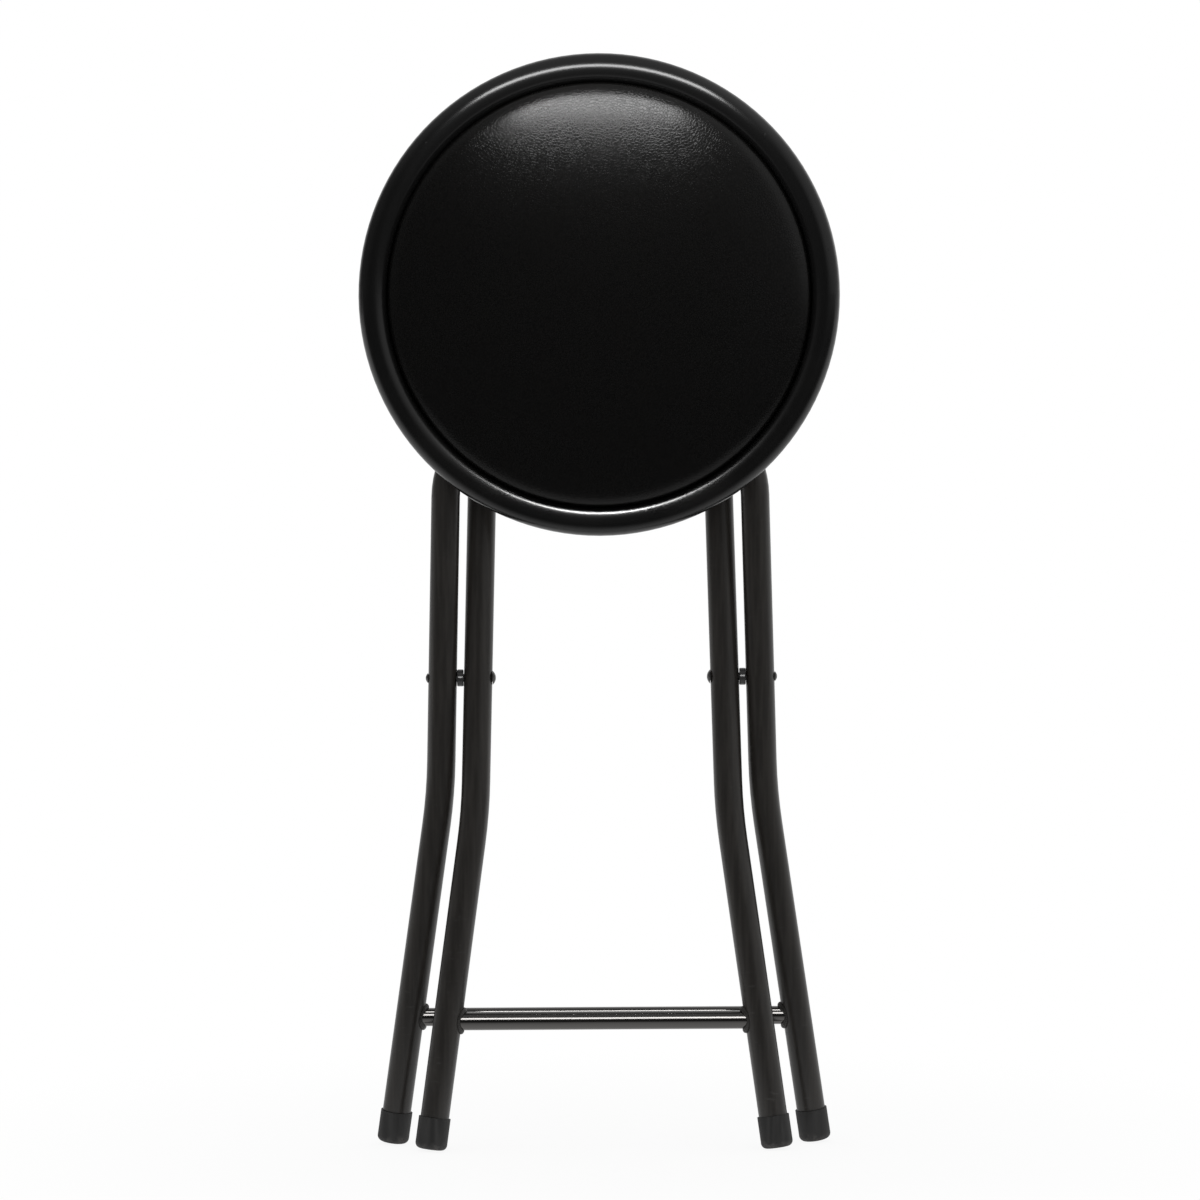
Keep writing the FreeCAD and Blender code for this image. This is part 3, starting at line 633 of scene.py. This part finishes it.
def seam_of_bar(bar, side):
    """The end of a crossbar on one side, as a function that gives the seam's point at an angle."""
    axis = middle_of(bar)
    low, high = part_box(bar)
    radius = (high[2] - low[2]) / 2
    ends = []
    for vertex in frame["nodes"][bar].data.vertices:
        across = Vector((0, vertex.co.y - axis.y, vertex.co.z - axis.z))
        if vertex.co.x * side > 0 and across.length > skin_share * radius:
            ends.append((math.atan2(across.z, across.y), abs(vertex.co.x)))

    def reach(angle):
        near = sorted(ends, key=lambda end: abs(math.remainder(end[0] - angle, math.tau)))[:nearest]
        return max(distance for _, distance in near)

    def point(angle, lift=0.0):
        return Vector((side * reach(angle), axis.y + (radius + lift) * math.cos(angle),
                       axis.z + (radius + lift) * math.sin(angle)))

    return point


beads = {}
for body, bar in (("outer_frame", "outer_crossbar"), ("inner_frame", "inner_crossbar")):
    drops = []
    for side in (-1, 1):
        seam = seam_of_bar(bar, side)
        for number in range(drops_round_bar):
            angle = math.tau * number / drops_round_bar
            along = seam(angle + look_ahead) - seam(angle - look_ahead)
            upright = abs(math.sin(angle)) ** 1.5
            change = drop_unevenness * uneven(angle, side) * (0.4 + upright)
            size = drop_size + drop_growth * upright + change
            drops.append((seam(angle, bead_lift * upright), along, size))
    bead = melt(f"{bar}_weld_beads", drops)
    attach(bead, body)
    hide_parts(f"{bar}_welds")
    beads[body] = bead

# %% Beads that hold the straps to the rim
drops_on_strap = 17
strap_drop_size = 0.0013
strap_unevenness = 0.00025
strap_pace = 0.9
to_seat = seat_frame.inverted()
drops = []
for strap in ("hinge_strap", "catch_strap"):
    reach, strap_low, _ = reach_in_seat(strap)
    across = [(to_seat @ vertex.co).y for vertex in frame["nodes"][strap].data.vertices]
    for side in (-1, 1):
        for number in range(drops_on_strap):
            y = min(across) + (max(across) - min(across)) * (number + 0.5) / drops_on_strap
            place = Vector((side * math.sqrt(reach ** 2 - y ** 2), y, strap_low))
            along = Vector((-side * y / reach, 1, 0))
            size = strap_drop_size + strap_unevenness * uneven(number * strap_pace, side)
            drops.append((seat_frame @ place, seat_frame.to_3x3() @ along, size))
strap_beads = melt("strap_weld_beads", drops)
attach(strap_beads, "seat")
bpy.data.objects.remove(drop)

# %% The paint on the beads
weld_paint = Finish("black_weld_enamel")
spatter = weld_paint.noise(weld_paint.place(), 900.0, 3.0)
hollow = weld_paint.noise(weld_paint.place(), 260.0, 3.0)
weld_paint.set(base_color=weld_paint.mix(hollow, grey(0.012, 0.1), grey(0.026, 0.1)),
               roughness=0.28 + spatter * 0.2,
               normal=weld_paint.bump(spatter, 0.00006))
weld_paint.wear(strap_beads, *beads.values())

# %% [markdown]
# ## Fittings and rivets
# The straps, saddles and the catch are pressed from sheet and painted satin black before they are
# riveted on. They rub and knock against each other, so chips show the primer as small grey flakes.
# The rivets at the legs' pivots are painted with the legs, but their black is a little lighter, a painted
# sheen for the light on their domes, and random patches of it are rubbed brighter.

# %% The fittings' satin enamel
fitting_paint = Finish("black_fittings_enamel_satin")
spot = fitting_paint.place()
grain = fitting_paint.noise(spot, 700.0, 3.0)
cloud = fitting_paint.noise(spot, 35.0, 4.0)
chips = fitting_paint.step(fitting_paint.noise(spot, 160.0, 5.0, 0.65), 0.69, 0.73)
fitting_paint.set(base_color=fitting_paint.mix(chips, grey(0.013, 0.04), grey(0.11, 0.02)),
                  roughness=0.36 + cloud * 0.14 + chips * 0.15,
                  normal=fitting_paint.bump(grain * 0.35 - chips, 0.00005))
fitting_paint.wear("hinge_strap", "catch_strap", "catch_saddle",
                   "hinge_bracket_left", "hinge_bracket_right")

# %% The rivets' enamel
rivet_paint = Finish("black_rivet_enamel_rubbed_and_sheen")
spot = rivet_paint.place()
grain = rivet_paint.noise(spot, 800.0, 3.0)
bare = rivet_paint.step(rivet_paint.noise(spot, 240.0, 4.0), 0.58, 0.7)
# Painted sheen: the rivets' base is lighter than the legs' black and stands in for light on the domes. The
# bare patches are rubbed paint.
rivet_paint.set(base_color=rivet_paint.mix(bare, grey(0.03, 0.06), grey(0.075, 0.05)),
                roughness=0.3 + grain * 0.1 + bare * 0.1,
                normal=rivet_paint.bump(grain, 0.00004))
rivet_paint.wear("pivot_rivet_left", "pivot_rivet_right")

# %% [markdown]
# ## Nylon, rubber, zinc and plywood
# The bushes and spacers are black nylon, waxy and a little cloudy, and the spacers are rubbed shiny
# where the legs turn. The foot caps are matt rubber with broad upright flutes from the mould, bumped,
# and painted in lighter and darker bands as painted light and shade on the flutes, with dust along the
# edge that meets the floor. Staples, screws and small rivets are zinc plated: a bluish metal with dull
# clouds. The board is plywood: its face has long grain, which is noise stretched along one direction,
# and darker pores in it.

# %% Nylon
def nylon(name, dullness, grain_depth):
    """Black nylon, from shiny to waxy."""
    finish = Finish(name)
    spot = finish.place()
    cloud = finish.noise(spot, 120.0, 4.0)
    finish.set(base_color=finish.mix(cloud, grey(0.011), grey(0.021)), roughness=dullness + cloud * 0.14,
               normal=finish.bump(finish.noise(spot, 1500.0, 2.0), grain_depth))
    return finish


nylon("black_nylon_moulded", 0.34, 0.00003).wear("hinge_bush_left", "hinge_bush_right")
nylon("black_nylon_rubbed", 0.08, 0.000004).wear("pivot_spacer_left", "pivot_spacer_right")

# %% Rubber
rubber = Finish("black_rubber_moulded")
flutes_and_painted_light = rubber.step(rubber.noise(rubber.place(scale=(1, 1, 0.06)), 190.0, 3.0), 0.3, 0.7)
crumb = rubber.noise(rubber.place(), 1300.0, 3.0)
dusty = 1 - rubber.step(rubber.height_of_floor(), 0.001, 0.007)
dust = rubber.step(rubber.noise(rubber.place(), 260.0, 4.0), 0.4, 0.65) * dusty
# Painted light and shade: the upright bands are painted lighter and darker, as light falls on the flutes.
shade = rubber.mix(flutes_and_painted_light, grey(0.009, 0.02), grey(0.028, 0.02))
rubber.set(base_color=rubber.mix(dust * 0.6, shade, grey(0.12, 0.05)),
           roughness=0.58 + flutes_and_painted_light * 0.14 + dust * 0.15,
           normal=rubber.bump(flutes_and_painted_light * 0.8 + crumb * 0.3, 0.00008))
rubber.wear("outer_foot_left", "outer_foot_right", "inner_foot_left", "inner_foot_right")

# %% Zinc
zinc = Finish("zinc_plated_steel", metallic=1.0)
spot = zinc.place()
cloud = zinc.noise(spot, 300.0, 4.0)
zinc.set(base_color=zinc.mix(cloud, (0.36, 0.38, 0.41, 1), (0.62, 0.63, 0.62, 1)),
         roughness=0.26 + cloud * 0.22,
         normal=zinc.bump(zinc.noise(spot, 1600.0, 2.0), 0.00002))
zinc.wear("cover_staples", "board_screws", "hinge_bracket_rivets", "catch_rivets")

# %% Plywood
plywood = Finish("birch_plywood_face")
flow = plywood.noise(plywood.place(scale=(1.2, 1, 7)), 14.0, 6.0, 0.6)
pores = plywood.noise(plywood.place(scale=(30, 1000, 1000)), 1.0, 2.0)
lines = plywood.node("ShaderNodeTexWave", {"bands_direction": "Z"},
                     {"Vector": plywood.place(scale=(0.12, 1, 1)), "Scale": 26.0, "Distortion": 9.0,
                      "Detail": 3.0})
tone = plywood.mix(flow * 0.6 + lines * 0.35, (0.43, 0.27, 0.14, 1), (0.24, 0.135, 0.062, 1))
plywood.set(base_color=plywood.mix(plywood.step(pores, 0.58, 0.7) * 0.5, tone, (0.11, 0.055, 0.025, 1)),
            roughness=0.55 + flow * 0.2, normal=plywood.bump(flow * 0.5 - pores, 0.00009))
plywood.wear("seat_board")

# %% [markdown]
# ## Floor and world
# The photograph is a catalogue picture: a pure white ground, and soft boxes that draw long lines of
# light on the black tubes. The world is white only where the camera looks straight at it. For
# reflections it is white behind the stool, as a backdrop is, and dark in front, where the camera
# stands, because a black cushion in a white room would look grey. The floor is a wide plane that
# shows white too, but lets a faint shadow through, so the stool stands on something.

# %% The floor
bpy.ops.object.select_all(action="DESELECT")
bpy.ops.mesh.primitive_plane_add(size=24, location=(0, 0, 0))
floor = bpy.context.object
floor.name = "floor"
floor_paint = bpy.data.materials.new("white_floor")
floor_paint.use_nodes = True
floor.data.materials.append(floor_paint)
ground = Tree(floor_paint.node_tree)
floor_paint.node_tree.nodes.remove(floor_paint.node_tree.nodes["Principled BSDF"])


def seen_directly(tree):
    """Two values: 1 for what the camera sees itself, and 1 for what it sees in a gloss or through glass."""
    path = {name: tree.node("ShaderNodeLightPath", output=name)
            for name in ("Is Camera Ray", "Is Glossy Ray", "Is Transmission Ray")}
    return path["Is Camera Ray"], path["Is Glossy Ray"] + path["Is Transmission Ray"]


to_camera, mirrored = seen_directly(ground)
place = ground.node("ShaderNodeTexCoord", output="Object")
away = ground.node("ShaderNodeVectorMath", {"operation": "LENGTH"}, {0: place}, output="Value")
behind = ground.node("ShaderNodeSeparateXYZ", {}, {0: place}, output=1)
white = to_camera * (0.9 + ground.step(away, 0.12, 0.6) * 0.1) + mirrored
brightness = to_camera + mirrored * (0.05 + ground.step(behind, -0.5, 0.1) * 0.85)
matt = ground.node("ShaderNodeBsdfDiffuse", {}, {"Color": (0.92, 0.92, 0.92, 1)})
glow = ground.node("ShaderNodeEmission", {}, {"Color": (1, 1, 1, 1), "Strength": brightness})
ground.feed(floor_paint.node_tree.nodes["Material Output"].inputs["Surface"],
            ground.node("ShaderNodeMixShader", {}, {0: white, 1: matt, 2: glow}))
print("floor", floor.dimensions)

# %% The world
world = bpy.data.worlds.new("white_studio")
bpy.context.scene.world = world
world.use_nodes = True
studio = Tree(world.node_tree)
to_camera, mirrored = seen_directly(studio)
direction = studio.node("ShaderNodeTexCoord", output="Generated")
depth = studio.node("ShaderNodeSeparateXYZ", {}, {0: direction}, output=1)
side = studio.node("ShaderNodeSeparateXYZ", {}, {0: direction}, output=0)
rise = studio.node("ShaderNodeSeparateXYZ", {}, {0: direction}, output=2)
backdrop = (0.03 + studio.step(depth, 0.35, 0.85) * 0.75 + studio.step(side, 0.1, 0.8) * 0.45
            + studio.step(0 - side, 0.5, 0.95) * 0.08 + studio.step(rise, 0.4, 0.95) * 0.3)
ambient = 0.85
strength = to_camera + (1 - to_camera) * (mirrored * backdrop + (1 - mirrored) * ambient)
studio.feed(world.node_tree.nodes["Background"].inputs["Color"], (1, 1, 1, 1))
studio.feed(world.node_tree.nodes["Background"].inputs["Strength"], strength)
print("world", world.name, "ambient", ambient)

# %% [markdown]
# ## Lamps that light one piece
# Long soft boxes draw the white lines on the black tubes. In a studio, black flags keep a lamp's
# light off everything but the piece that it is meant for. Light linking does the same in Blender:
# a lamp lights only what is in its collection. Two strips over the seat give the cushion its broad
# shine and the rim its upper line, a third draws the rim's lower line, and two boxes draw the lines
# on the crossbars.

# %% A soft box
def soft_box(name, place, aim, width, height, power, pieces, spread=180):
    """A soft box that is turned to its aim and lights some pieces only. The camera doesn't see it."""
    bpy.ops.object.light_add(type="AREA", location=place)
    lamp = bpy.context.object
    lamp.name = name
    lamp.data.shape = "RECTANGLE"
    lamp.data.size = width
    lamp.data.size_y = height
    lamp.data.energy = power
    lamp.data.spread = math.radians(spread)
    lamp.rotation_euler = (Vector(aim) - Vector(place)).to_track_quat("-Z", "Y").to_euler()
    lamp.visible_camera = False
    lit = bpy.data.collections.new(f"lit_by_{name}")
    for piece in pieces:
        lit.objects.link(piece)
    lamp.light_linking.receiver_collection = lit
    print(name, "at", place, power, "W, lights", len(pieces), "pieces")


# %% The lamps
rim = frame["nodes"]["seat_rim"]
spacers = [frame["nodes"]["pivot_spacer_left"], frame["nodes"]["pivot_spacer_right"]]
back_bar = frame["nodes"]["outer_crossbar"]
front_bar = frame["nodes"]["inner_crossbar"]
over_seat = (0, -0.14, 0.695)
seat_top = (0, -0.04, 0.62)
bar_place = (0, 0, 0.07)
soft_box("seat_strip", over_seat, seat_top, 0.15, 0.035, 0.25, [cushion])
soft_box("rim_top_strip", over_seat, seat_top, 0.2, 0.035, 0.36, [rim])
soft_box("rim_strip", (0, -0.085, 0.56), (0, -0.03, 0.39), 0.1, 0.018, 0.05, [rim], spread=55)
soft_box("bar_box_low", (0, -0.5, 0.395), bar_place, 0.4, 0.17, 2.0, [back_bar, front_bar, *spacers])
soft_box("bar_box_high", (0, -0.165, 0.65), bar_place, 0.4, 0.08, 1.3, [back_bar])

# %% [markdown]
# ## Close the scene
# The colours are shown as they are written, so the view transform is Standard.

# %% The view transform
bpy.context.scene.view_settings.view_transform = "Standard"
